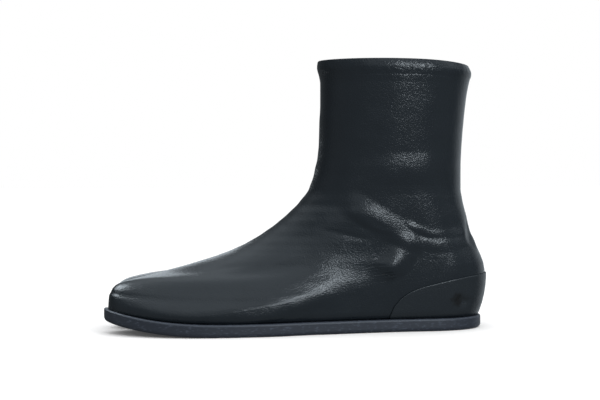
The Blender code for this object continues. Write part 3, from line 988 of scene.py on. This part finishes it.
def make_insole():
    """The insole, inside the upper's wall."""
    plan = inset(upper_plan(FEATHER), WALL + INSOLE_GAP)
    soft = INSOLE_THICKNESS / 3
    rows = ((0, FEATHER), (0, FEATHER + INSOLE_THICKNESS - soft), (soft / 2, FEATHER + INSOLE_THICKNESS))
    leather = inside_leather("insole_leather", INSOLE_DARK, INSOLE_LIGHT)
    add_slab("insole_pad", plan, rows, [leather], ["insole"])


def make_counter(outer):
    """The heel counter: a leather overlay with a rounded cut edge, over the upper's own form."""
    edge = curve([along(row[0]) for row in COUNTER_EDGE], [row[1] * ANKLE_HEIGHT for row in COUNTER_EDGE])
    normals = grid_normals(outer)
    levels = ring_levels()
    limit = int(np.searchsorted(levels, COUNTER_EDGE[0][1] * ANKLE_HEIGHT)) + SPARE_RINGS
    front = along(COUNTER_EDGE[-1][0])
    half = [*range(HEEL_STEPS), *np.linspace(0, 1, COUNTER_STEPS)]
    order = [(INNER, place) for place in half[:0:-1]] + [(OUTER, place) for place in half]
    off = FIT + COUNTER_THICKNESS

    def on_ring(row, side, place):
        """Point and normal of one ring: at a facet's number at the heel, or at a share of the way on."""
        if isinstance(place, int):
            return np.concatenate([outer[row, side * place], normals[row, side * place]])
        ids = [side * k for k in range(HEEL_STEPS, HEEL_STEPS + SIDE_STEPS)]
        both = np.concatenate([outer[row, ids], normals[row, ids]], axis=1)
        x = both[0, 0] + (front - both[0, 0]) * place
        return np.array([np.interp(x, both[:, 0], both[:, k]) for k in range(6)])

    columns = []
    for side, place in order:
        found = np.array([on_ring(row, side, place) for row in range(limit)])
        top = np.interp(0, levels[:limit] - edge(found[:, 0]), levels[:limit])
        column = []
        for share in np.linspace(0, 1, COUNTER_ROWS):
            level = FEATHER + (top - FEATHER) * share
            values = np.array([np.interp(level, levels[:limit], found[:, k]) for k in range(6)])
            normal = values[3:] * (1, 1, min((level - FEATHER) / (2 * off), 1))
            column.append((values[:3], normal / np.linalg.norm(normal)))
        columns.append(column)
    rows = list(zip(*columns))
    base = np.array([[p for p, n in row] for row in rows])
    lift = np.array([[n for p, n in row] for row in rows])
    face = base + lift * off
    back = base + lift * FIT
    count = len(order)
    rim = (face[-1] + back[-1]) / 2 + np.array([0, 0, 1]) * COUNTER_THICKNESS / 3
    points = np.concatenate([*face, rim, *back[::-1]])
    faces = tube_faces(2 * COUNTER_ROWS + 1, count, closed=False)
    leather = leather_material("counter_leather", COUNTER_ROUGHNESS, COUNTER_GLOSS)
    # Painted shade of the counter's dent: a dark mark in its colour, at the upper's point nearest the
    # dent's place
    around = np.abs(lengths_around(outer) / OUTSOLE_LENGTH - DENT_SHADE_AROUND)
    miss = around * OUTSOLE_LENGTH + np.abs(outer[:, :, 2] - DENT_SHADE_HEIGHT * ANKLE_HEIGHT)
    add_dent_shade(leather, outer[np.unravel_index(miss.argmin(), miss.shape)])
    add_piece("counter", points, faces, [leather], ["heel_counter"])


def make_stage():
    """A pale floor, a little darker in the boot's contact shadow."""
    bpy.ops.mesh.primitive_plane_add(size=FLOOR_SIZE, location=(0, 0, 0))
    floor = bpy.context.object
    floor.name = "floor"
    made, tree, shader = new_material("floor_white")
    reach = {"Distance": SHADOW_REACH}
    open_sky = add_node(tree, "ShaderNodeAmbientOcclusion", reach, samples=SHADOW_SAMPLES)
    values = {
        "Base Color": (*FLOOR_COLOUR, 1),
        "Roughness": FLOOR_ROUGHNESS,
        "Specular IOR Level": FLOOR_GLOSS,
        "Emission Color": (*WHITE, 1),
        "Emission Strength": ranged(tree, open_sky.outputs["AO"], 0, 1, SHADOW_LIGHT, OPEN_LIGHT),
    }
    set_inputs(tree, shader, values)
    floor.data.materials.append(made)
    floor.visible_glossy = False
    floor.visible_diffuse = False


def direction(azimuth, elevation):
    """Unit vector to a place: azimuth is the angle from +Y towards +X, in degrees."""
    a = math.radians(azimuth)
    e = math.radians(elevation)
    return np.array([math.sin(a) * math.cos(e), math.cos(a) * math.cos(e), math.sin(e)])


def look(thing, aim):
    """Turns a light or the camera to face a point."""
    way = Vector(aim) - thing.location
    thing.rotation_euler = way.to_track_quat("-Z", "Y").to_euler()


def make_room():
    """A dim room that is bright overhead, and plain white for the camera."""
    world = bpy.data.worlds.new("studio")
    bpy.context.scene.world = world
    world.use_nodes = True
    tree = world.node_tree
    place = tree.nodes.new("ShaderNodeTexCoord").outputs["Generated"]
    room = BACK_SHADE
    for azimuth, elevation, start, end, strength in GLOWS:
        values = {0: place, 1: direction(azimuth, elevation)}
        facing = add_node(tree, "ShaderNodeVectorMath", values, operation="DOT_PRODUCT").outputs["Value"]
        glow = ranged(tree, facing, start, end, BACK_SHADE, strength, interpolation_type="SMOOTHSTEP")
        room = combined(tree, "MAXIMUM", room, glow)
    seen = tree.nodes.new("ShaderNodeLightPath").outputs["Is Camera Ray"]
    values = {
        "Strength": add_node(tree, "ShaderNodeMix", {0: seen, 2: room, 3: 1}).outputs[0],
        "Color": mixed(tree, seen, COOL_WHITE, WHITE),
    }
    set_inputs(tree, tree.nodes["Background"], values)


def add_softbox(name, aim, azimuth, elevation, distance, width, height, power, spread=180, roll=0):
    """A soft light aimed at a point, from a direction and distance."""
    light = bpy.data.lights.new(name, "AREA")
    light.shape = "RECTANGLE"
    light.size = width
    light.size_y = height
    light.energy = power
    light.color = COOL_WHITE
    light.spread = math.radians(spread)
    lamp = bpy.data.objects.new(name, light)
    bpy.context.scene.collection.objects.link(lamp)
    lamp.location = np.array(aim) + direction(azimuth, elevation) * distance
    look(lamp, aim)
    if roll:
        lamp.rotation_euler.rotate_axis("Z", math.radians(roll))
    return lamp


def make_lights():
    """Three soft lights, and two cards that only the gloss on the toes' top reflects."""
    middle = (0, 0, BOOT_HEIGHT / 2)
    for name, *rest in SOFTBOXES:
        add_softbox(name, middle, *rest)
    for row in CARDS:
        card = add_softbox(*row)
        card.visible_camera = False
        card.visible_diffuse = False


def make_camera():
    """The camera of the photograph: level with the boot's middle, a little to its front."""
    data = bpy.data.cameras.new("camera")
    data.lens = LENS
    data.sensor_width = SENSOR
    camera = bpy.data.objects.new("camera", data)
    bpy.context.scene.collection.objects.link(camera)
    camera.location = CAMERA_PLACE
    look(camera, CAMERA_AIM)
    bpy.context.scene.camera = camera


bpy.context.scene.view_settings.view_transform = "Standard"
make_camera()
outer_face = make_upper()
make_outsole()
make_insole()
make_counter(outer_face)
make_stage()
make_room()
make_lights()
